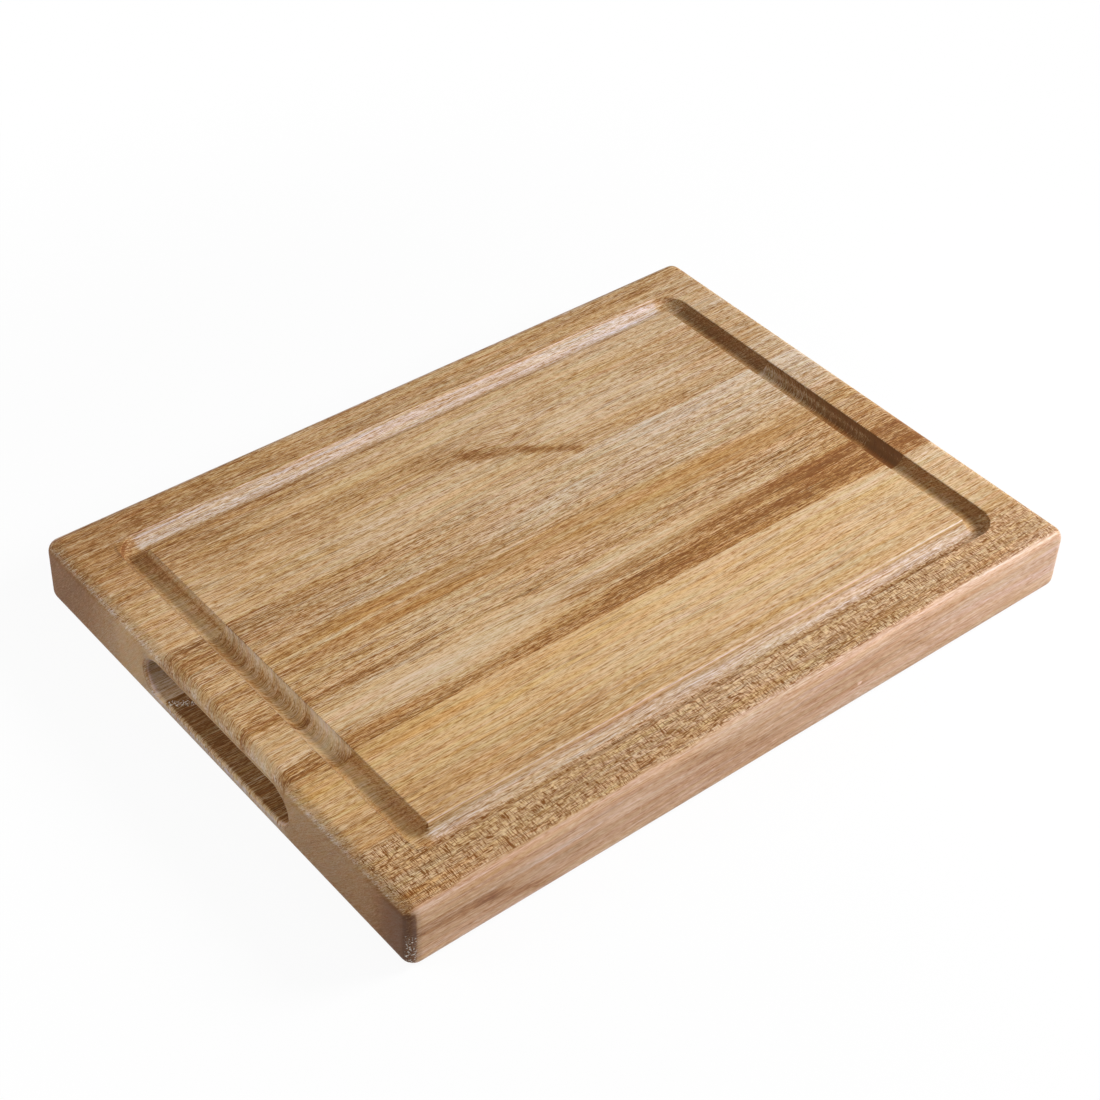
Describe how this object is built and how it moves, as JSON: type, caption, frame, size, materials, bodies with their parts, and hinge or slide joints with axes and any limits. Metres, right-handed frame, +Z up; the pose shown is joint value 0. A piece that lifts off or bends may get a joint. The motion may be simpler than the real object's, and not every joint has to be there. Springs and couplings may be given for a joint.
{
  "type": "steak board",
  "caption": "Thick rectangular wooden steak board, edge-glued from staves, with a juice groove round its top face and a blind finger slot in each end.",
  "frame": {"origin": "middle of the underside, on the surface that the board stands on", "axes": "+X along the grain and the long side, +Y across the staves towards the back stave, +Z up through the carving face"},
  "size_m": [0.33, 0.24, 0.03],
  "materials": {
    "front_acacia": "oiled, golden tan with a fine fleck",
    "middle_acacia": "oiled, tan with brown heartwood bands",
    "back_acacia": "oiled, reddish tan with a knot"
  },
  "bodies": {
    "root": {"front_stave": "front_acacia", "middle_stave": "middle_acacia", "back_stave": "back_acacia"}
  },
  "joints": []
}
